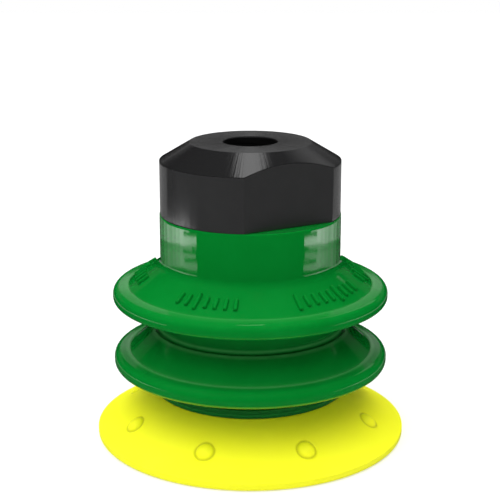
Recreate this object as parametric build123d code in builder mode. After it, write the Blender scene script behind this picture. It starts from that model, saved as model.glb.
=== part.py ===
from build123d import *
from math import ceil, hypot, pi, radians, sin, tan
import os

# Bellows suction cup of 25 mm size: a soft sealing lip, a hollow bellows of two folds, and a
# threaded fitting that the neck of the bellows grips. Sizes are in millimetres. The Z axis is the
# axis of the cup, and Z = 0 is the plane that the lip seals on.

# Sealing lip
lip_diameter = 25.0
lip_height = 3.84  # seal plane up to the face bonded to the bellows
lip_edge_height = 0.6  # upright outer edge
lip_land_width = 0.6  # flat ring that meets the workpiece
lip_top_sag = 0.33  # how far the upper surface dips under its straight slope
throat_depth = 0.9  # upright wall of the lip's opening, below the bonded face

# Raised studs on the lip
stud_count = 8
stud_diameter = 1.56
stud_height = 0.3
stud_place = 0.887  # share of the way from the lip's edge to the middle of its slope
stud_turn = 2.5  # degrees that the pattern is turned from halfway between the axes

# Waist between the folds. The folds, the foot and the opening are measured from it.
waist_diameter = 14.88
waist_height = 1.08
waist_wall = 1.24  # down to the opening through the cup
groove_width = 0.26  # narrow groove round the bottom of the waist
groove_depth = 0.15
groove_edge = 0.09

# Folds of the bellows, each a roof, a bead at the tip and a floor
fold_depth = 3.59  # waist out to the tip
fold_wall = 1.0
bead_width = 1.23  # from the crease out to the tip
bead_crown_drop = 0.1  # fall of the bead's top from the crease to the tip
bead_top_round = 0.62
bead_flat = 0.02  # straight part of the tip between its two roundings
lower_bead_thickness = 1.19
upper_bead_thickness = 1.08
lower_roof_rise = 2.05  # crease up to the waist
upper_roof_rise = 1.75  # crease up to the neck
lower_floor_drop = 0.89  # underside of the bead down to the foot
upper_floor_drop = 0.98  # underside of the bead down to the waist
root_round = 0.3  # inner corners where a fold leaves the neck or the waist
facet_size = 0.3  # a rounding is drawn with one straight facet for each started length of this

# Foot of the bellows, on the lip
foot_overhang = 0.43  # how far the foot stands out past the waist
foot_height = 0.62
foot_bead_height = 0.28
foot_bead_step = 0.09
foot_neck_inset = 0.09  # how far the neck of the foot lies inside the waist
foot_neck_height = 0.53

# Neck, and the pocket and bore in it that hold the fitting
neck_diameter = 14.4
neck_length = 4.0  # upper fold to the fitting's head
pocket_depth = 0.93
grip_clearance = 0.05

# Spigot and barb of the fitting
spigot_diameter = 8.0
barb_diameter = 10.4
barb_land = 0.5  # straight edge of the barb
barb_length = 2.0
nose_diameter = 8.2

# Head of the fitting
head_diameter = 14.3
head_height = 5.7
head_top_diameter = 9.58
cone_height = 1.42
across_flats = 12.0
flats_direction = -60.8  # degrees from +X to the flat in front
thread_core_diameter = 4.2  # M5
thread_depth = 7.0
passage_diameter = 3.0


def leaf(radius_a, height_a, radius_b, height_b):
    """A straight leaf of a fold as a slope and its height on the axis."""
    slope = (height_b - height_a) / (radius_b - radius_a)
    return slope, height_a - slope * radius_a


def moved(line, distance):
    """The leaf moved at right angles to itself, up where the distance is positive."""
    slope, base = line
    return slope, base + distance * hypot(1, slope)


def height_at(line, radius):
    """Height of a leaf at a radius."""
    slope, base = line
    return base + slope * radius


def crossing(line_a, line_b):
    """The radius and height where two leaves meet."""
    radius = (line_b[1] - line_a[1]) / (line_a[0] - line_b[0])
    return radius, height_at(line_a, radius)


def bead(bead_top, thickness):
    """Corners round the tip of a fold, from the crease down to the underside."""
    bottom_round = thickness - bead_top_round - bead_flat
    return [
        (crease_radius, bead_top + bead_crown_drop, 0),
        (ring_radius, bead_top, bead_top_round),
        (ring_radius, bead_top - thickness, bottom_round),
    ]


def rounding_points(before, corner, after, rounding):
    """Ends of the straight facets that draw the rounding of a corner."""
    if rounding == 0:
        return [corner]
    back, ahead = (before - corner).normalized(), (after - corner).normalized()
    half_angle = radians(back.get_angle(ahead)) / 2
    centre = corner + (back + ahead).normalized() * rounding / sin(half_angle)
    first_arm = corner + back * rounding / tan(half_angle) - centre
    last_arm = corner + ahead * rounding / tan(half_angle) - centre
    sweep = pi - 2 * half_angle
    count = ceil(rounding / facet_size)
    turns = [sweep * i / count for i in range(count + 1)]
    return [
        centre + (first_arm * sin(sweep - turn) + last_arm * sin(turn)) / sin(sweep)
        for turn in turns
    ]


def rounded_outline(corners):
    """A closed outline whose corners are given as radius, height and rounding."""
    points = [Vector(radius, height) for radius, height, rounding in corners]
    roundings = [rounding for radius, height, rounding in corners]
    places = zip(points[-1:] + points[:-1], points, points[1:] + points[:1], roundings)
    drawn = [rounding_points(*place) for place in places]
    return Polyline(*[point for part in drawn for point in part], close=True)


# Radii
lip_radius = lip_diameter / 2
waist_radius = waist_diameter / 2
throat_radius = waist_radius - waist_wall
ring_radius = waist_radius + fold_depth
crease_radius = ring_radius - bead_width
foot_radius = waist_radius + foot_overhang
foot_neck_radius = waist_radius - foot_neck_inset
neck_radius = neck_diameter / 2
spigot_radius = spigot_diameter / 2
barb_radius = barb_diameter / 2
head_radius = head_diameter / 2
bore_radius = spigot_radius + grip_clearance
pocket_radius = barb_radius + grip_clearance

# Heights of the lower fold, stacked up from the lip, then those of the upper fold
foot_top = lip_height + foot_height
foot_bead_top = lip_height + foot_bead_height
lower_floor_root = foot_top + foot_neck_height
lower_bead_bottom = lower_floor_root + lower_floor_drop
lower_bead_top = lower_bead_bottom + lower_bead_thickness
lower_crease_height = lower_bead_top + bead_crown_drop
lower_roof_root = lower_crease_height + lower_roof_rise
upper_floor_root = lower_roof_root + waist_height
upper_bead_bottom = upper_floor_root + upper_floor_drop
upper_bead_top = upper_bead_bottom + upper_bead_thickness
upper_crease_height = upper_bead_top + bead_crown_drop
upper_roof_root = upper_crease_height + upper_roof_rise
neck_top = upper_roof_root + neck_length
head_top = neck_top + head_height

# The leaves' outer faces. The hollow's faces are the same lines moved in by one wall.
lower_floor = leaf(foot_neck_radius, lower_floor_root, ring_radius, lower_bead_bottom)
lower_roof = leaf(waist_radius, lower_roof_root, crease_radius, lower_crease_height)
upper_floor = leaf(waist_radius, upper_floor_root, ring_radius, upper_bead_bottom)
upper_roof = leaf(neck_radius, upper_roof_root, crease_radius, upper_crease_height)
lower_hollow_floor = moved(lower_floor, fold_wall)
lower_hollow_roof = moved(lower_roof, -fold_wall)
upper_hollow_floor = moved(upper_floor, fold_wall)
upper_hollow_roof = moved(upper_roof, -fold_wall)

# The barb's shoulder hooks under the top of the pocket, just above the roof of the hollow.
pocket_foot = height_at(upper_hollow_roof, pocket_radius)
shoulder_height = pocket_foot + pocket_depth
nose_height = shoulder_height - barb_length

# Outside of the bellows, from the neck's top edge down to the foot
neck_corners = [
    (neck_radius, neck_top, 0),
    (neck_radius, upper_roof_root, root_round),
]
groove_start = waist_radius + groove_edge
groove_middle = groove_start + groove_width / 2
groove_end = groove_start + groove_width
waist_corners = [
    (waist_radius, upper_floor_root, root_round),
    (waist_radius, lower_roof_root + groove_edge, 0),
    (groove_start, height_at(lower_roof, groove_start), 0),
    (groove_middle, height_at(lower_roof, groove_middle) - groove_depth, 0),
    (groove_end, height_at(lower_roof, groove_end), 0),
]
foot_wall_radius = foot_radius - foot_bead_step
foot_corners = [
    (foot_neck_radius, lower_floor_root, 0),
    (foot_neck_radius, foot_top, 0),
    (foot_wall_radius, foot_top, 0),
    (foot_wall_radius, foot_bead_top + foot_bead_step, 0),
    (foot_radius, foot_bead_top, 0),
    (foot_radius, lip_height, 0),
]

# Hollow of the bellows, from the foot up to the neck's bore
hollow_corners = [
    (throat_radius, lip_height, 0),
    (throat_radius, height_at(lower_hollow_floor, throat_radius), 0),
    (*crossing(lower_hollow_floor, lower_hollow_roof), 0),
    (throat_radius, height_at(lower_hollow_roof, throat_radius), 0),
    (throat_radius, height_at(upper_hollow_floor, throat_radius), 0),
    (*crossing(upper_hollow_floor, upper_hollow_roof), 0),
    (pocket_radius, pocket_foot, 0),
    (pocket_radius, shoulder_height, 0),
    (bore_radius, shoulder_height, 0),
    (bore_radius, neck_top, 0),
]
bellows_corners = (
    neck_corners
    + bead(upper_bead_top, upper_bead_thickness)
    + waist_corners
    + bead(lower_bead_top, lower_bead_thickness)
    + foot_corners
    + hollow_corners
)

with BuildPart() as bellows:
    with BuildSketch(Plane.XZ):
        with BuildLine():
            rounded_outline(bellows_corners)
        make_face()
    revolve(axis=Axis.Z)

# The upper surface of the lip is a shallow dish of two facets, from the edge up to the foot of
# the bellows. They meet in the middle of the slope, where the dish is deepest.
edge_point = Vector(lip_radius, lip_edge_height)
foot_point = Vector(foot_radius, lip_height)
chord = foot_point - edge_point
slope_normal = Vector(-chord.Y, chord.X) / chord.length
dish_middle = (edge_point + foot_point) / 2 + slope_normal * lip_top_sag

# A stud is the cap of a ball whose centre lies under the dish, square to its slope.
ball_radius = (stud_diameter**2 / 4 + stud_height**2) / (2 * stud_height)
stud_base = edge_point + (dish_middle - edge_point) * stud_place
ball_centre = stud_base + slope_normal * (ball_radius - stud_height)
first_stud = 180 / stud_count + stud_turn

land_radius = lip_radius - lip_land_width
throat_foot = lip_height - throat_depth
cut_margin = 1.0  # the cut runs past both ends of the opening

with BuildPart() as sealing_lip:
    with BuildSketch(Plane.XZ):
        with BuildLine():
            Polyline(
                (0, lip_height),
                (0, 0),
                (lip_radius, 0),
                edge_point,
                dish_middle,
                foot_point,
                close=True,
            )
        make_face()
    revolve(axis=Axis.Z)
    with PolarLocations(ball_centre.X, stud_count, start_angle=first_stud):
        with Locations((0, 0, ball_centre.Y)):
            Sphere(ball_radius)
    with BuildSketch(Plane.XZ):
        with BuildLine():
            Polyline(
                (0, -cut_margin),
                (land_radius, -cut_margin),
                (land_radius, 0),
                (throat_radius, throat_foot),
                (throat_radius, lip_height + cut_margin),
                (0, lip_height + cut_margin),
                close=True,
            )
        make_face()
    revolve(axis=Axis.Z, mode=Mode.SUBTRACT)

# The fitting, from the barb's nose up to the top of its head
fitting_corners = [
    (0, nose_height),
    (nose_diameter / 2, nose_height),
    (barb_radius, shoulder_height - barb_land),
    (barb_radius, shoulder_height),
    (spigot_radius, shoulder_height),
    (spigot_radius, neck_top),
    (head_radius, neck_top),
    (head_radius, head_top - cone_height),
    (head_top_diameter / 2, head_top),
    (0, head_top),
]

with BuildPart() as fitting:
    with BuildSketch(Plane.XZ):
        with BuildLine():
            Polyline(*fitting_corners, close=True)
        make_face()
    revolve(axis=Axis.Z)
    with Locations((0, 0, neck_top)):
        with PolarLocations(across_flats / 2, 2, start_angle=flats_direction):
            Box(
                head_radius,
                head_diameter,
                head_height,
                align=(Align.MIN, Align.CENTER, Align.MIN),
                mode=Mode.SUBTRACT,
            )
    with Locations((0, 0, head_top)):
        CounterBoreHole(passage_diameter / 2, thread_core_diameter / 2, thread_depth)

bellows.part.label = "bellows"
sealing_lip.part.label = "sealing_lip"
fitting.part.label = "fitting"

os.makedirs("parts", exist_ok=True)
export_step(bellows.part, "parts/bellows.step")
export_step(sealing_lip.part, "parts/sealing_lip.step")
export_step(fitting.part, "parts/fitting.step")
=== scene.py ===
# %% [markdown]
# # Bellows suction cup
# A vacuum gripper of 25 mm size: a black threaded fitting, a green hollow bellows of two folds and
# a soft yellow lip that seals on the workpiece. The measured solids are loaded first as a fixed
# frame. The three mouldings are then made again with finer shapes and real finishes, each in the
# place of its solid, so the part still fits and moves as the solids do.

# %% Load the measured solids
from math import acos, degrees, pi, radians

import bpy
import numpy as np
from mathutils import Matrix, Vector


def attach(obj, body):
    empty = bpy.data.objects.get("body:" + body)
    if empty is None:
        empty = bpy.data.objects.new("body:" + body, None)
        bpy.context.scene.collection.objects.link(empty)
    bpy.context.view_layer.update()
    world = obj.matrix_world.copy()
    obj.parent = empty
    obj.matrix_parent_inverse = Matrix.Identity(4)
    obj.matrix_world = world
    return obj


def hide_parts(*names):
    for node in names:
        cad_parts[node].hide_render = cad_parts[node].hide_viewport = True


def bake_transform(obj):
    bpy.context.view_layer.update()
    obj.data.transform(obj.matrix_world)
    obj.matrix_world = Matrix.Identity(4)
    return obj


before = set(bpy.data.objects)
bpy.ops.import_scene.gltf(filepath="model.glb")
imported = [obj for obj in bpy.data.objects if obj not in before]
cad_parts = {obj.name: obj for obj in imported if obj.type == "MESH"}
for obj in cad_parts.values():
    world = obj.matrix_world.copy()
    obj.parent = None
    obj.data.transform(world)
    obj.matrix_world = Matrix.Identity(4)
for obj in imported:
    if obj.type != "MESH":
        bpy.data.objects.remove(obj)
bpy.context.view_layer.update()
MM = 0.001  # sizes are in millimetres here, and Blender's unit is the metre
print("solids:", sorted(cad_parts))

# %% [markdown]
# ## Camera
# The camera stands 98 mm in front of the axis and 42 mm up, and looks down by 15 degrees. These
# numbers were solved from the outlines of the rings, the lip and the fitting, so the renders line
# up with the photograph. It could have been placed by eye, but then no edge could be compared.

# %% Camera at the photograph's viewing angle
lens_data = bpy.data.cameras.new("photo_camera")
lens_data.sensor_width, lens_data.lens = 36.0, 91.51
lens_data.clip_start, lens_data.clip_end = 0.005, 5.0
camera = bpy.data.objects.new("photo_camera", lens_data)
camera.location = (-0.026 * MM, -98.106 * MM, 41.985 * MM)
camera.rotation_euler = (radians(90 - 15.3355), 0, 0)
bpy.context.scene.collection.objects.link(camera)
bpy.context.scene.camera = camera
print("camera lens", lens_data.lens, "mm")

# %% [markdown]
# ## Surfaces carried round the axis
# Every piece of the cup came out of a turned mould, so each surface is one outline carried round
# the axis. A Screw modifier could turn it, but a grid worked out with numpy also lets the outline
# change on the way round, which the wrench flats, the studs and the thread need. The grid closes
# on itself both ways, like a ring, so it has no seam, no pole and no open edge.


# %% Outline with rounded corners
def rounded_outline(corners, sags=None, longest=0.45):
    """Rows of a closed outline from corners given as radius, height and rounding.

    A corner of rounding q and half angle h has its arc's centre q / sin h along the bisector, and
    the arc starts q / tan h before the corner. It has 4 rows, plus 7 times the root of its
    rounding times its sweep. Between two arcs the rows follow the straight line at shares
    (1 - cos) / 2, so that they crowd at the arcs and the broad faces stay flat. Their number grows
    with the length over the longest step. A sag bows such a stretch sideways by 4 t (1 - t) times
    its size. The corners may differ from column to column; the result is an array of row, column
    and (radius, height).
    """
    corners = np.asarray(corners, float)
    if corners.ndim == 2:
        corners = corners[:, None, :]
    place, rounding = corners[..., :2], corners[..., 2:]
    back, ahead = np.roll(place, 1, axis=0) - place, np.roll(place, -1, axis=0) - place
    back = back / np.linalg.norm(back, axis=-1, keepdims=True)
    ahead = ahead / np.linalg.norm(ahead, axis=-1, keepdims=True)
    half = np.arccos(np.clip((back * ahead).sum(-1, keepdims=True), -1, 1)) / 2
    bisector = (back + ahead) / np.linalg.norm(back + ahead, axis=-1, keepdims=True)
    centre = place + bisector * rounding / np.sin(half)
    arm_in = place + back * rounding / np.tan(half) - centre
    arm_out = place + ahead * rounding / np.tan(half) - centre
    sweep = np.pi - 2 * half
    rows = []
    for i in range(len(corners)):
        if rounding[i].max() > 0:
            steps = 4 + int(7 * np.sqrt(rounding[i].max() * sweep[i].max()))
            t = np.linspace(0, 1, steps)[:, None, None]
            arc = np.sin((1 - t) * sweep[i]) * arm_in[i] + np.sin(t * sweep[i]) * arm_out[i]
            rows.append(centre[i] + arc / np.sin(sweep[i]))
        else:
            rows.append(place[i][None])
        following = (i + 1) % len(corners)
        start, end = rows[-1][-1], centre[following] + arm_in[following]
        run = end - start
        length = np.linalg.norm(run, axis=-1, keepdims=True)
        count = int(length.max() / longest) + (3 if length.max() > 0.5 else 1)
        t = (1 - np.cos(np.pi * np.linspace(0, 1, count + 1)[1:-1])) / 2
        sag = 0.0 if sags is None else sags.get(i, 0.0)
        side = np.concatenate((run[..., 1:], -run[..., :1]), axis=-1) / length
        t = t[:, None, None]
        rows.append(start + run * t + side * sag * 4 * t * (1 - t))
    return np.concatenate(rows)


def even_angles(count):
    """Angles of the columns, spread evenly over one turn."""
    return np.arange(count) * 2 * np.pi / count


square = rounded_outline([(1, 0, 0), (2, 0, 0.2), (2, 1, 0), (1, 1, 0)])
print("a square of 1 mm with one round corner has", len(square), "rows")


# %% Mesh of a ring grid
def link_mesh(name, points, faces):
    """A smooth-shaded object at the origin from points in millimetres and rows of four corners."""
    mesh = bpy.data.meshes.new(name)
    mesh.vertices.add(len(points))
    mesh.vertices.foreach_set("co", (points * MM).astype(np.float32).ravel())
    mesh.loops.add(faces.size)
    mesh.loops.foreach_set("vertex_index", faces.astype(np.int32).ravel())
    mesh.polygons.add(len(faces))
    mesh.polygons.foreach_set("loop_start", np.arange(0, faces.size, 4, dtype=np.int32))
    mesh.polygons.foreach_set("use_smooth", np.ones(len(faces), bool))
    mesh.update(calc_edges=True)
    mesh.validate()
    piece = bpy.data.objects.new(name, mesh)
    bpy.context.scene.collection.objects.link(piece)
    print(name, "has", 2 * len(faces), "triangles")
    return piece


def ring_piece(name, outline, angles):
    """An outline carried round the axis: x = r cos a, y = r sin a, z = h.

    Row i and column j of the grid make a face with the next row and the next column, and the last
    ones join the first. The outline runs clockwise, seen with the axis on its left, so that the
    faces point outwards.
    """
    grid = (len(outline), len(angles))
    radius, height = (np.broadcast_to(outline[..., i], grid) for i in (0, 1))
    points = np.stack((radius * np.cos(angles), radius * np.sin(angles), height), axis=-1)
    index = np.arange(radius.size).reshape(grid)
    below, beside = np.roll(index, -1, axis=0), np.roll(index, -1, axis=1)
    faces = np.stack((index, below, np.roll(below, -1, axis=1), beside), axis=-1)
    return link_mesh(name, points.reshape(-1, 3), faces.reshape(-1, 4))


print("a mesh is made from arrays of points and faces")

# %% [markdown]
# ## Finishes
# The three mouldings differ in their finish more than in their colour: the fitting is a hard black
# plastic with a fine grain, the bellows a glossy, slightly clear green elastomer, and the lip the
# same elastomer in a softer yellow grade. Shader maths is written as Python expressions, and each
# operator adds its Math node, because a formula is easier to read than a web of wires.


# %% Shader values as Python expressions
class Value:
    """A shader socket in Python arithmetic. Each operator adds one Math node."""

    def __init__(self, nodes, socket):
        self.nodes, self.socket = nodes, socket

    def _maths(self, operation, first, second):
        return self.nodes.node("Math", {"operation": operation}, [first, second])

    def __add__(self, other):
        return self._maths("ADD", self, other)

    def __radd__(self, other):
        return self._maths("ADD", other, self)

    def __sub__(self, other):
        return self._maths("SUBTRACT", self, other)

    def __rsub__(self, other):
        return self._maths("SUBTRACT", other, self)

    def __mul__(self, other):
        return self._maths("MULTIPLY", self, other)

    def __rmul__(self, other):
        return self._maths("MULTIPLY", other, self)

    def out(self, name):
        """Another output of the node that this value comes from."""
        return Value(self.nodes, self.socket.node.outputs[name])


print("shader values can be added, subtracted and multiplied")


# %% Nodes from one method
class Nodes:
    """The emptied node tree of a material or the world, whose nodes come from one method."""

    def __init__(self, owner):
        owner.use_nodes = True
        self.tree = owner.node_tree
        self.tree.nodes.clear()

    def node(self, kind, settings, inputs=()):
        """Adds a node: its settings first, a ramp's stops among them, then its inputs.

        An input is a number, a colour or a Value, by name, or by place in a list.
        """
        node = self.tree.nodes.new("ShaderNode" + kind)
        for key, value in settings.items():
            if key == "stops":
                for stop in value[2:]:
                    node.color_ramp.elements.new(stop[0])
                for element, (place, colour) in zip(node.color_ramp.elements, value):
                    element.position, element.color = place, colour
            else:
                setattr(node, key, value)
        for key, value in inputs.items() if isinstance(inputs, dict) else enumerate(inputs):
            self.feed(node, key, value)
        shown = [s for s in node.outputs if s.enabled]
        return Value(self, shown[0]) if shown else node

    def feed(self, node, key, value):
        """Sets or links one input of a node."""
        if isinstance(value, Value):
            self.tree.links.new(value.socket, node.inputs[key])
        elif isinstance(value, tuple) and len(value) == 3 and node.inputs[key].type == "RGBA":
            node.inputs[key].default_value = (*value, 1.0)
        else:
            node.inputs[key].default_value = value

    def mix(self, share, colour_a, colour_b):
        """A colour between two others; Mix keeps the hue, which a Math node would lose."""
        return self.node("MixRGB", {"blend_type": "MIX"}, [share, colour_a, colour_b])

    def noise(self, place, size, detail):
        """Soft noise whose blobs are about size millimetres across, from 0 to 1."""
        inputs = {"Vector": place, "Scale": 1 / (size * MM), "Detail": detail}
        return self.node("TexNoise", {}, inputs)


class Finish(Nodes):
    """A material around one Principled shader, with the values that are the same all over."""

    def __init__(self, name, constants):
        self.material = bpy.data.materials.new(name)
        super().__init__(self.material)
        self.shader = self.node("BsdfPrincipled", {}, constants)
        self.node("OutputMaterial", {}, {"Surface": self.shader})

    def varies(self, **inputs):
        """Links what changes over the surface to the Principled shader."""
        for key, value in inputs.items():
            self.feed(self.shader.socket.node, key.replace("_", " "), value)

    def bump(self, height):
        """Raises and lowers the shading by a height in millimetres."""
        inputs = {"Strength": 1.0, "Distance": 1.0 * MM, "Height": height}
        self.varies(Normal=self.node("Bump", {}, inputs))


print("materials and the world share one way to add nodes")


# %% [markdown]
# ### Green and yellow elastomer
# Cast elastomer is glossy with a faint unevenness: a ripple of a few millimetres from shrinking in
# the mould, and a fine grain from the mould's wall. The ripple bends the long reflections on the
# neck, and the grain softens their ends. Light enters a little way, so the shader has a weak
# subsurface share. Sharp edges are painted paler, a painted reflection, and narrow grooves are
# painted darker, a painted shade; both are read from shares that each point of a piece keeps. The
# pattern is read from a stored rest place, so that it stays on the material when the bellows folds.


# %% Elastomer finishes
def elastomer(name, deep, bright, gloss, mirror_level, clear_share, clear_depths, ripple,
              fold_dullness):
    """Glossy cast elastomer whose colour drifts between two shades, duller below the neck.

    The drifting colour turns pale, a painted reflection, by the share kept as edge, and dark, a
    painted shade, by 0.65 times the crease share. The roughness is gloss + dullness +
    0.05 cloud + 0.02 grain, and the bump's height is ripple times wave + 0.0002 grain, in
    millimetres.
    """
    finish = Finish(name, {
        "IOR": 1.5,
        "Specular IOR Level": mirror_level,
        "Subsurface Weight": clear_share,
        "Subsurface Radius": clear_depths,
        "Subsurface Scale": 1.0 * MM,
    })
    place = finish.node("Attribute", {"attribute_name": "rest_place"}).out("Vector")
    cloud = finish.noise(place, size=2.6, detail=3.0)
    wave = finish.noise(place, size=2.2, detail=1.0)
    grain = finish.noise(place, size=0.16, detail=3.0)
    level = finish.node("SeparateXYZ", {}, [place]).out("Z")
    fold_level, neck_level = 13.9 * MM, 14.6 * MM
    dullness = finish.node("MapRange", {}, [level, fold_level, neck_level, fold_dullness, 0.0])
    # Painted shade and painted reflection: the crease share darkens the colour, the edge share
    # pales it
    crease = finish.node("Attribute", {"attribute_name": "crease"}).out("Fac")
    edge = finish.node("Attribute", {"attribute_name": "edge"}).out("Fac")
    shade = tuple(0.45 * part for part in deep)
    pale = (bright[0] + 0.05, 1.45 * bright[1], bright[2] + 0.05)
    tone = finish.mix(edge, finish.mix(cloud, deep, bright), pale)
    finish.varies(
        Base_Color=finish.mix(0.65 * crease, tone, shade),
        Roughness=gloss + dullness + 0.05 * cloud + 0.02 * grain,
    )
    finish.bump(ripple * wave + 0.0002 * grain)
    return finish.material


green_elastomer = elastomer(
    "green_elastomer", deep=(0.001, 0.175, 0.018), bright=(0.002, 0.215, 0.026), gloss=0.0,
    mirror_level=0.5, clear_share=0.12, clear_depths=(0.3, 1.0, 0.4), ripple=0.004,
    fold_dullness=0.05,
)
yellow_elastomer = elastomer(
    "yellow_elastomer", deep=(0.95, 0.955, 0.017), bright=(0.98, 0.975, 0.025), gloss=0.4,
    mirror_level=0.12, clear_share=0.1, clear_depths=(1.0, 1.0, 0.2), ripple=0.006,
    fold_dullness=0.0,
)
print("finishes:", green_elastomer.name, yellow_elastomer.name)

# %% [markdown]
# ### Black moulded plastic
# The fitting is a filled black plastic with a fine grain. Its top and its cone are painted darker
# than its walls, a painted shade, and the cone shows short fine streaks that run down the slope,
# left by the mould's turned steel. They come from noise on the direction from the axis, so each
# streak keeps its angle from the top of the cone to its bottom. The bore is painted darker still, a
# painted shade, because hardly any light gets out of it. Separate materials would do too, but they
# would need a cut in the mesh at each border.


# %% Black plastic finish
def black_plastic(name):
    """Black plastic with a grain, darker on the cone and the top, with streaks down the slope.

    The slope's level is z + fall times r. It is 26.79 mm all over the cone, so a point belongs to
    the cone where it is above cone_level. Inside cone_edge the radius counts as cone_edge, which
    takes in the flat top. The bore is all that lies nearer to the axis than bore_wall. The darker
    colour of the cone, the top and the bore is painted shade.
    """
    fall, cone_edge, cone_level, bore_wall = 0.6017, 4.85 * MM, 26.76 * MM, 2.14 * MM
    finish = Finish(name, {"IOR": 1.5})
    place = finish.node("TexCoord", {}).out("Object")
    parts = finish.node("SeparateXYZ", {}, [place])
    flat_place = finish.node("CombineXYZ", {}, [parts.out("X"), parts.out("Y"), 0.0])
    direction = finish.node("VectorMath", {"operation": "NORMALIZE"}, [flat_place])
    streak = finish.node("TexNoise", {}, {"Vector": direction, "Scale": 55.0, "Detail": 3.0})
    from_axis = finish.node("VectorMath", {"operation": "LENGTH"}, [flat_place]).out("Value")
    reach = finish.node("Math", {"operation": "MAXIMUM"}, [from_axis, cone_edge])
    slope_level = parts.out("Z") + fall * reach
    on_cone = finish.node("Math", {"operation": "GREATER_THAN"}, [slope_level, cone_level])
    in_bore = finish.node("Math", {"operation": "LESS_THAN"}, [from_axis, bore_wall])
    grain = finish.noise(place, size=0.11, detail=3.0)
    cloud = finish.noise(place, size=1.5, detail=2.0)
    wall = finish.mix(cloud, (0.027, 0.027, 0.0275), (0.032, 0.032, 0.0325))
    # Painted shade: the cone and the top get a darker colour than the walls, and the bore darker
    # still.
    plastic = finish.mix(on_cone, wall, (0.012, 0.012, 0.0123))
    finish.varies(
        Base_Color=finish.mix(in_bore, plastic, (0.002, 0.002, 0.002)),
        Roughness=0.08 + 0.04 * grain + 0.05 * on_cone * streak + 0.5 * in_bore,
    )
    finish.bump(0.001 * grain + 0.014 * on_cone * streak)
    return finish.material


fitting_plastic = black_plastic("black_plastic")
print("finish:", fitting_plastic.name)


# %% Keep the rest place and the finish on a piece
def finish_piece(piece, material, crease=None, edge=None):
    """Gives a piece its finish, and the stored rest place that patterns are read from.

    The shares by which a point lies in a crease or on an edge are stored too. They darken the
    finish's colour there as painted shade, and make it paler as a painted reflection.
    """
    mesh = piece.data
    place = np.empty(len(mesh.vertices) * 3, np.float32)
    mesh.vertices.foreach_get("co", place)
    stored = mesh.attributes.new("rest_place", "FLOAT_VECTOR", "POINT")
    stored.data.foreach_set("vector", place)
    for name, share in (("crease", crease), ("edge", edge)):
        values = np.zeros(len(mesh.vertices)) if share is None else share.ravel()
        stored = mesh.attributes.new(name, "FLOAT", "POINT")
        stored.data.foreach_set("value", values.astype(np.float32))
    mesh.materials.append(material)
    return piece


print("pieces keep their rest place, creases and edges")

# %% [markdown]
# ## Bellows
# The bellows is one soft moulding: a neck that grips the fitting, two folds that end in round
# beads, and a foot that is bonded to the lip. Each fold is a thin leaf, so the hollow inside
# repeats the outside one wall further in. At each bead a fine step marks where the roof ends. A
# modelled disc with loop cuts would do, but one list of corners says the same and is easy to alter.

# %% Bellows outline and piece
neck = [(7.2, 18.21, 0.05), (7.2, 14.21, 0.8)]
upper_bead = [
    (9.765, 12.484, 0.03), (9.84, 12.505, 0.05), (11.03, 12.36, 0.62), (11.03, 11.28, 0.44),
]
waist = [
    (7.44, 10.3, 0.3), (7.44, 9.31, 0.05), (7.53, 9.142, 0.04), (7.6, 8.93, 0.03),
    (7.7, 8.87, 0.03), (7.79, 8.916, 0.04),
]
lower_bead = [
    (9.765, 7.194, 0.03), (9.84, 7.215, 0.05), (11.03, 7.07, 0.62), (11.03, 5.88, 0.55),
]
foot = [
    (7.35, 4.99, 0.2), (7.35, 4.46, 0.2), (7.78, 4.46, 0.1), (7.78, 4.21, 0.03),
    (7.87, 4.12, 0.045), (7.87, 3.84, 0.03),
]
hollow = [
    (6.2, 3.84, 0.03), (6.2, 5.741, 0.25), (9.11, 6.444, 0.25), (6.2, 8.973, 0.25),
    (6.2, 10.998, 0.25), (9.032, 11.771, 0.25), (5.25, 14.317, 0.25), (5.25, 15.247, 0.1),
    (4.05, 15.247, 0.1), (4.05, 18.21, 0.05),
]
bellows_outline = rounded_outline(neck + upper_bead + waist + lower_bead + foot + hollow)
bellows_angles = even_angles(192)
bellows = ring_piece("green_bellows", bellows_outline, bellows_angles)
print("rows of the bellows outline:", len(bellows_outline))

# %% [markdown]
# The bellows' colour is painted paler on its sharp edges, a painted reflection, and darker in its
# grooves, a painted shade. Each such ring is a spot on the outline with a size and a strength,
# which costs less than a painted map and has no seam.

# %% Painted reflections on the edges and painted shade in the grooves of the bellows
# Each spot is a radius, a height, a size and a strength.
painted_reflection_spots = (
    (9.9, 12.5, 0.13, 0.45), (10.2, 12.46, 0.3, 0.2), (9.9, 7.21, 0.15, 0.9),
    (7.53, 9.14, 0.07, 0.9), (7.9, 8.85, 0.15, 0.9), (7.6, 4.46, 0.17, 1.5),
    (7.83, 4.16, 0.05, 1.2),
)
painted_shade_spots = (
    (7.66, 8.88, 0.06, 0.8), (7.44, 9.5, 0.2, 0.5), (7.78, 4.3, 0.1, 1.5), (7.87, 3.93, 0.15, 1.5),
)


def near_spots(spots):
    """The largest of strength times exp(-(distance / size)^2) over the spots, for every point."""
    share = np.max([
        strength * np.exp(-((bellows_outline - (radius, height)) ** 2).sum(-1) / size**2)
        for radius, height, size, strength in spots
    ], axis=0)
    return np.broadcast_to(share, (len(bellows_outline), len(bellows_angles)))


print(len(painted_reflection_spots), "pale edges,", len(painted_shade_spots), "dark grooves")

# %% [markdown]
# The bellows takes its finish, with its shares of painted shade and painted reflection, and its
# measured solid is hidden.

# %% Bellows takes its finish in the place of its solid
# The dark spots paint shade into the grooves, and the pale spots paint reflections on the edges.
finish_piece(bellows, green_elastomer, near_spots(painted_shade_spots), near_spots(painted_reflection_spots))
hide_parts("bellows")
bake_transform(bellows)

# %% [markdown]
# ## Raised marks on the upper fold
# The roof of the upper fold carries small raised marks in four groups, moulded in one with it.
# They are plain bars of a scale here. Each is a stack of rounded rectangles that shrink towards
# the top, laid on the roof's slope; a bump map would not show in the outline at the fold's side.

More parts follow.
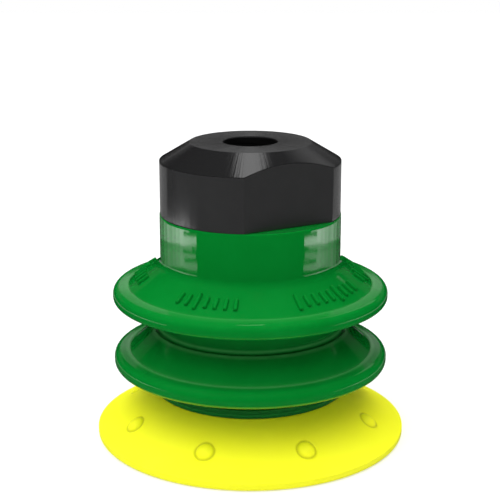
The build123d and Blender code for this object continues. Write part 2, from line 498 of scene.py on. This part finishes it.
# %% Places and sizes of the raised marks
roof_top, roof_edge = np.array((7.2, 14.21)), np.array((9.765, 12.484))
slope = (roof_edge - roof_top) / np.linalg.norm(roof_edge - roof_top)
mark_groups = ((-127, -92), (-66, -22), (-10, 30), (-200, -160))  # first and last angle, degrees
mark_step = 5.0
mark_places = np.concatenate([np.arange(first, last, mark_step) for first, last in mark_groups])
long_mark = np.arange(len(mark_places)) % 5 == 2
mark_lengths, mark_width = np.where(long_mark, 1.6, 1.1), 0.32
layer_height = np.array((-0.08, 0.04, 0.16, 0.205, 0.22))
layer_inset = np.array((-0.03, 0.0, 0.015, 0.045, 0.09))
print(len(mark_places), "marks,", long_mark.sum(), "of them long")


# %% Raised marks
def raised_marks(name, places, lengths, width):
    """Bars on the roof, each a stack of rounded rectangles.

    A rectangle's edge is the curve x = a |cos|^0.4, y = b |sin|^0.4 with the signs kept. x runs
    along the roof's slope and y across it, and each layer stands its height off the slope. The
    longest bars start 1 mm below the roof's top, and the others lie at their middle.
    """
    t = even_angles(20)
    bow = np.stack((np.sign(np.cos(t)) * abs(np.cos(t)) ** 0.4,
                    np.sign(np.sin(t)) * abs(np.sin(t)) ** 0.4))
    along = (lengths[:, None] / 2 - layer_inset)[..., None] * bow[0]
    across = (width / 2 - layer_inset)[None, :, None] * bow[1]
    middle = 1.0 + 0.5 * lengths.max()
    radius = roof_top[0] + slope[0] * (middle + along) - slope[1] * layer_height[:, None]
    height = roof_top[1] + slope[1] * (middle + along) + slope[0] * layer_height[:, None]
    turn = np.radians(places)[:, None, None]
    x = radius * np.cos(turn) - across * np.sin(turn)
    y = radius * np.sin(turn) + across * np.cos(turn)
    points = np.stack((x, y, height + 0 * x), axis=-1)
    sides = x.shape[2]
    index = np.arange(x.size).reshape(x.shape)
    low, high = index[:, :-1], index[:, 1:]
    walls = np.stack((low, np.roll(low, -1, axis=2), np.roll(high, -1, axis=2), high), axis=-1)
    ends = np.arange(sides // 2 - 1)
    corners = (ends, ends + 1, sides - 2 - ends, sides - 1 - ends)
    caps = [np.stack([ring[:, corner] for corner in corners], axis=-1)
            for ring in (index[:, -1], index[:, 0, ::-1])]
    faces = np.concatenate([walls.reshape(-1, 4)] + [cap.reshape(-1, 4) for cap in caps])
    return link_mesh(name, points.reshape(-1, 3), faces)


marks = raised_marks("raised_marks", mark_places, mark_lengths, mark_width)
finish_piece(marks, green_elastomer)
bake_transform(marks)

# %% [markdown]
# ## Sealing lip
# The lip is a soft flared dish with eight round studs that keep a flat workpiece from sticking to
# it. A stud could be a ball laid on the dish, but then its foot would be a hard crossing of two
# meshes. Here the dish itself rises: its columns and rows crowd round each stud, and every point
# is moved along the slope's normal by the height of a ball's cap, with a fine crease at its foot.

# %% Sizes of the dish and its studs
dish_edge, dish_foot = np.array((12.5, 0.6)), np.array((7.87, 3.84))
dish_run = dish_foot - dish_edge
dish_length, dish_sag = np.hypot(*dish_run), 0.33
stud_radius, stud_height, stud_circle = 0.72, 0.3, 10.278
stud_middle = (dish_edge[0] - stud_circle) / (dish_edge[0] - dish_foot[0]) * dish_length
crease_gap, crease_width, crease_depth = 0.05, 0.09, 0.07
stud_turns = np.radians(25 + 45 * np.arange(8))
near_stud = np.radians(np.arange(-5.6, 5.61, 0.28))
between_studs = np.radians(np.linspace(5.6, 45 - 5.6, 22)[1:-1])
lip_angles = (stud_turns[:, None] + np.concatenate((near_stud, between_studs))).ravel()
print(len(stud_turns), "studs,", round(stud_middle, 2), "mm up the dish")
print(len(lip_angles), "columns of the lip")


# %% Outline of the lip
def lip_outline():
    """Outline of the lip, with close rows where the studs stand.

    At the share t of its length the dish is at edge + t run, and it bows out by 4 t (1 - t) times
    dish_sag. Its rows take the place of the straight stretch that the ring has there.
    """
    t = np.concatenate((
        np.array((0.02, 0.06, 0.14, 0.3, 0.6, 0.95)),
        np.arange(1.25, stud_middle - 1.0, 0.3),
        np.arange(stud_middle - 0.95, stud_middle + 0.96, 0.05),
        np.arange(stud_middle + 1.2, dish_length - 0.3, 0.3),
        dish_length - np.array((0.16, 0.05, 0.0)),
    )) / dish_length
    outwards = np.array((-dish_run[1], dish_run[0])) / dish_length
    dish = dish_edge + dish_run * t[:, None] + outwards * (dish_sag * 4 * t * (1 - t))[:, None]
    ring = rounded_outline([
        (6.2, 3.84, 0.03), (6.2, 2.94, 0.06), (11.9, 0.0, 0.05), (12.5, 0.0, 0.28),
        (12.5, 0.6, 0.05), (7.87, 3.84, 0.0),
    ], sags={1: 0.1})[:, 0]
    radius, height = ring.T
    upper = height > 0.2 + 0.6 * (dish_edge[0] - radius)
    slanted = (radius > dish_foot[0]) & (height > dish_edge[1]) & (radius < 12.46) & upper
    start = np.flatnonzero(slanted)[0]
    rest = ring[~slanted]
    return np.concatenate((rest[:start], dish[1:-1], rest[start:]))[::-1]


outline = lip_outline()
print("lip rows:", len(outline))


# %% Studs rise out of the dish
def with_studs(rows, angles):
    """Moves the dish's points along their normals by the studs' height.

    At distance d from a stud's middle, inside its radius a, the height is that of a ball's cap,
    sqrt(b^2 - d^2) - (b - h), where b = (a^2 + h^2) / 2h. Round its foot runs a crease whose share
    is exp(-((d - a - gap) / width)^2); it sinks the crease, and it also darkens the lip's colour
    there as painted shade. Both the points and this share are given back.
    """
    ball = (stud_radius**2 + stud_height**2) / (2 * stud_height)
    step = np.roll(rows, -1, axis=0) - np.roll(rows, 1, axis=0)
    step /= np.linalg.norm(step, axis=1, keepdims=True)
    normal = np.stack((-step[:, 1], step[:, 0]), axis=1)
    normal *= np.sign(normal[:, 1:])
    along = (rows - dish_edge) @ dish_run / dish_length
    on_dish = (along > 0.5) & (along < dish_length - 0.3)
    on_dish = (on_dish & (rows[:, 1] > dish_edge[1]) & (rows[:, 0] > 7.9))[:, None]
    turn = (angles[None, :] - stud_turns[0] + np.pi / 8) % (np.pi / 4) - np.pi / 8
    distance = np.hypot((along - stud_middle)[:, None], stud_circle * turn)
    cap = np.sqrt(np.maximum(ball**2 - distance**2, 0)) - (ball - stud_height)
    crease = on_dish * np.exp(-(((distance - stud_radius - crease_gap) / crease_width) ** 2))
    lift = on_dish * np.maximum(cap, 0) * (distance < stud_radius) - crease_depth * crease
    return rows[:, None, :] + normal[:, None, :] * lift[..., None], crease


dish_with_studs, stud_crease_shade = with_studs(outline, lip_angles)
lip = ring_piece("yellow_lip", dish_with_studs, lip_angles)
# The crease share round each stud darkens the lip's colour as painted shade.
finish_piece(lip, yellow_elastomer, stud_crease_shade)
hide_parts("sealing_lip")
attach(lip, "lip")

# %% [markdown]
# ## Fitting
# The fitting is turned in shape but for its two wrench flats and its thread. A boolean would cut
# the flats, yet leave long thin faces that shade badly. Instead each column's outline stops where
# the flat is: the wall stands at 6 mm over the cosine of the angle, and the cone starts higher
# there, which draws the curved top edge of the flat by itself. The thread is a helix in the bore.

# %% Fitting sizes and columns
head_top, head_radius, flat_distance, core_radius = 23.91, 7.15, 6.0, 2.1
cone_top, cone_drop, cone_run = 4.79, 1.42, 2.36
flat_turn = radians(-60.8)
flat_edge = acos(flat_distance / head_radius)
# The columns crowd at the edges of the flats.
fine = np.radians(np.array((-1.2, -0.6, -0.35, -0.2, -0.1, 0.0, 0.1, 0.2, 0.35, 0.6, 1.2)))
half_turn = np.concatenate((
    np.linspace(-flat_edge, flat_edge, 29)[2:-2], flat_edge + fine,
    np.linspace(flat_edge, pi - flat_edge, 60)[2:-2], pi - flat_edge + fine,
))
fitting_angles = np.sort(np.concatenate((half_turn, half_turn + pi)))
from_flat = (fitting_angles + pi / 2) % pi - pi / 2
fitting_angles = fitting_angles + flat_turn
print(len(fitting_angles), "columns, flat's half angle:", round(degrees(flat_edge), 1))


# %% Fitting outline
def head_wall(angle):
    """Radius of the head's wall: the smaller of the round wall and the flat, with a soft edge.

    The flat stands at its distance over cos a. Where the two walls are within 0.06 mm of each
    other, a share s goes from the one to the other, and 0.015 s (1 - s) rounds the edge off.
    """
    flat = flat_distance / np.maximum(np.cos(angle), 0.3)
    share = np.clip(0.5 + (flat - head_radius) / 0.06, 0, 1)
    return flat + (head_radius - flat) * share - 0.015 * share * (1 - share)


def fitting_rows(angle):
    """Outline of every column, from the bore's rim over the cone and down to the nose."""
    wall = head_wall(angle)
    cone_foot = head_top - (wall - cone_top) * cone_drop / cone_run
    same = np.ones_like(wall)
    corners = [
        (core_radius, 23.82, 0.02), (core_radius + 0.09, head_top, 0.02),
        (cone_top, head_top, 0.05), (wall, cone_foot, 0.05), (wall, 18.21, 0.06),
        (4.0, 18.21, 0.05), (4.0, 15.247, 0.05), (5.2, 15.247, 0.08), (5.2, 14.747, 0.08),
        (4.1, 13.247, 0.1), (1.6, 13.247, 0.05), (1.5, 13.4, 0.03), (1.5, 16.91, 0.05),
        (core_radius, 16.91, 0.05),
    ]
    grid = np.array([[a * same, b * same, c * same] for a, b, c in corners])
    return rounded_outline(np.moveaxis(grid, 1, 2), longest=0.5)


rows = fitting_rows(from_flat)
plain_bore = (abs(rows[:, 0, 0] - core_radius) < 1e-6) & (abs(rows[:, 0, 1] - 20.4) < 3.4)
rows = rows[~plain_bore]
print("fitting rows without those of the plain bore:", len(rows))


# %% Thread in the bore
def threaded_bore(angles, pitch=0.8, depth=0.4, low=17.0, high=23.5):
    """Rows up the bore of an M5 thread.

    The groove is a ridge of 1.5 (1 - |2 s - 1|) - 0.3, held between 0 and 1, where s is the share
    of a turn z / pitch - angle / 2 pi. It fades out below the rim and above the thread's end.
    """
    z = np.arange(low, 23.7, 0.08)[:, None]
    share = (z / pitch - angles / (2 * np.pi)) % 1
    groove = np.clip(1.5 * (1 - abs(2 * share - 1)) - 0.3, 0, 1)
    fade = np.clip((z - low) / 0.4, 0, 1) * np.clip((high - z) / 0.5, 0, 1)
    return np.stack((core_radius + depth * groove * fade, z + 0 * share), axis=-1)


rows = np.concatenate((rows, threaded_bore(fitting_angles)))
fitting = ring_piece("black_fitting", rows, fitting_angles)
finish_piece(fitting, fitting_plastic)
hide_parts("fitting")
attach(fitting, "holder")

# %% [markdown]
# ## Studio
# The part stands on a plain white floor and is lit by a broad soft dome, which is bright overhead
# and dark near the horizon. A bright floor would whiten every underside that mirrors it, so the
# reflections see a dim grey card in its place.


# %% Floor and card
def glowing_finish(name, strength):
    """A finish that gives off light and mirrors nothing."""
    return Finish(name, {
        "Base Color": (0.0, 0.0, 0.0), "Roughness": 1.0, "Specular IOR Level": 0.0,
        "Emission Color": (1.0, 1.0, 1.0), "Emission Strength": strength,
    })


floor_reach, floor_level = 400.0, -0.02
corners = np.array(((-1, -1, 0), (1, -1, 0), (1, 1, 0), (-1, 1, 0)), float) * floor_reach
corners[:, 2] = floor_level
floor = link_mesh("studio_floor", corners, np.array(((0, 1, 2, 3),)))
white = Finish("white_floor", {
    "Base Color": (0.55, 0.55, 0.55), "Roughness": 0.8,
    "Emission Color": (1.0, 1.0, 1.0), "Emission Strength": 0.4,
})
floor.data.materials.append(white.material)
floor.visible_glossy = False

card_radius, card_level, card_corners = 28, -0.01, 64
turn = even_angles(card_corners)
rim = np.stack((card_radius * np.cos(turn), card_radius * np.sin(turn), 0 * turn + card_level),
               axis=-1)
left = np.arange(card_corners // 2 - 1)
right = card_corners - 1 - left
card = link_mesh("floor_card", rim, np.stack((left, left + 1, right - 1, right), axis=-1))
card.data.materials.append(glowing_finish("grey_card", 0.06).material)
card.visible_camera = card.visible_diffuse = card.visible_shadow = False
print("floor of", 2 * floor_reach, "mm, card of", 2 * card_radius, "mm")

# %% Sky dome
world = bpy.data.worlds.new("soft_dome")
bpy.context.scene.world = world
sky = Nodes(world)
direction = sky.node("TexCoord", {}).out("Generated")
leaning_up = (-0.12, -0.12, 1.0)  # a little to the front left
height = sky.node("VectorMath", {"operation": "DOT_PRODUCT"}, [direction, leaning_up])
greys = ((0.0, 0.02), (0.3, 0.005), (0.6, 0.15), (0.75, 0.5), (1.0, 1.0))  # height and level
stops = [(place, (grey, grey, grey, 1.0)) for place, grey in greys]
level = sky.node("ValToRGB", {"stops": stops}, [height.out("Value")])
lights = sky.node("Background", {}, {"Color": level, "Strength": 3.7})
seen = sky.node("Background", {}, {"Color": (1.0, 1.0, 1.0), "Strength": 1.0})
by_camera = sky.node("LightPath", {}).out("Is Camera Ray")
sky.node("OutputWorld", {}, {"Surface": sky.node("MixShader", {}, [by_camera, lights, seen])})
world.cycles_visibility.glossy = False
print("dome of", len(greys), "levels")

# %% [markdown]
# One small panel over the fitting lights the front of its cone, where the streaks show. It is
# hidden from the camera, because a view from above would look at its back.


# %% Soft panel over the fitting
def panel(name, middle, target, width, height, radiance):
    """A soft light panel facing a target.

    A panel of area A that gives off P watts has the radiance P / (pi A), so its power is worked
    out from the brightness that it should show.
    """
    data = bpy.data.lights.new(name, "AREA")
    data.shape, data.size, data.size_y = "RECTANGLE", width * MM, height * MM
    data.energy = radiance * pi * width * height * MM * MM
    light = bpy.data.objects.new(name, data)
    bpy.context.scene.collection.objects.link(light)
    light.location = np.array(middle) * MM
    aim = Vector(target) * MM - light.location
    light.rotation_euler = aim.to_track_quat("-Z", "Y").to_euler()
    light.visible_camera = False
    print(name, "power", round(data.energy, 4), "W")
    return light


panel("overhead_panel", middle=(0.1, -2.6, 34), target=(0.1, -2.6, 0), width=5, height=5.6,
      radiance=2.6)

# %% [markdown]
# A glossy surface shows what stands round it. Here that is one wall, a cylinder of 250 mm radius
# with bright and dim fields. It reaches below the floor, because the upright neck mirrors what
# lies low when it is looked at from above. Area lights could stand there instead, but dozens of
# them would be slow, and a mesh can have any edge.

# %% Fields of light on the wall
# A field is a lowest and a highest z, a first and a last turn, a radiance and a side. A turn is
# in degrees from straight sideways, positive to the back, and side 0 is both sides, 1 the right.
# The neck mirrors a stack of strips: lowest z, highest z, ragged front end and radiance.
neck_strips = (
    (-45.4, -43.2, -9, 3.4), (-46.7, -45.4, 1, 3.4), (-49.1, -46.7, -20, 3.4),
    (-50.5, -49.1, -13, 1.0), (-51.4, -50.5, 2, 1.0), (-52.8, -51.4, -19, 1.3),
    (-54.0, -52.8, 0, 1.3), (-56.2, -54.0, -21, 1.3),
)
# Their share of light goes down towards the back, over these turns.
fading = ((8, 16, 0.95), (16, 24, 0.65), (24, 38, 0.42), (38, 49, 0.2), (49, 70, 0.07))
fields = [(low, high, start, 8, 1.3 * glow, 0) for low, high, start, glow in neck_strips]
for first, last, share in fading:
    fields += [(low, high, first, last, share * glow, 0) for low, high, start, glow in neck_strips]
fields += [
    (-42.5, -26, 38, 75, 0.3, 0),                            # for walls that lean up a little
    (62, 105, 70, 90, 0.25, 0), (68, 95, 74, 86, 0.15, 0),   # for level faces
    (50, 110, 40, 70, 0.06, 0), (105, 200, 70, 90, 0.2, 0),  # for roof sides and bead tops
    (135, 330, 52, 70, 0.4, 1),                              # for the upper roof at the right
]
print(len(fields), "fields on the wall")


# %% Wall of soft light that only the reflections see
def light_wall(name, radius, fields):
    """A cylinder whose faces glow by the sum of the fields that they lie in.

    Its rings stand at the edges of the fields, and its columns are one degree wide.
    """
    levels = np.unique([edge for field in fields for edge in field[:2]])
    angle, z = np.meshgrid(even_angles(360), levels)
    points = np.stack((radius * np.cos(angle), radius * np.sin(angle), z), axis=-1)
    index = np.arange(z.size).reshape(z.shape)
    beside = np.roll(index, -1, axis=1)
    faces = np.stack((index[:-1], beside[:-1], beside[1:], index[1:]), axis=-1).reshape(-1, 4)
    wall = link_mesh(name, points.reshape(-1, 3), faces)
    middle = points.reshape(-1, 3)[faces].mean(axis=1)
    turn = np.degrees(np.arctan2(middle[:, 1], abs(middle[:, 0])))
    glow = sum(
        level * (middle[:, 2] > low) * (middle[:, 2] < high) * (turn > first) * (turn < last)
        * (middle[:, 0] * side >= 0)
        for low, high, first, last, level, side in fields
    )
    shown = wall.data.attributes.new("glow", "FLOAT_COLOR", "FACE")
    shown.data.foreach_set("color", np.repeat(glow, 4).astype(np.float32))
    return wall


wall = light_wall("light_wall", 250.0, fields)
glowing = glowing_finish("wall_glow", 1.0)
glowing.varies(Emission_Color=glowing.node("Attribute", {"attribute_name": "glow"}))
glowing.material.cycles.emission_sampling = "NONE"
wall.data.materials.append(glowing.material)
wall.visible_camera = wall.visible_diffuse = wall.visible_shadow = False

# %% [markdown]
# ## Colour
# The Standard view keeps the colours as they are lit.

# %% Finish
bpy.context.scene.view_settings.view_transform = "Standard"
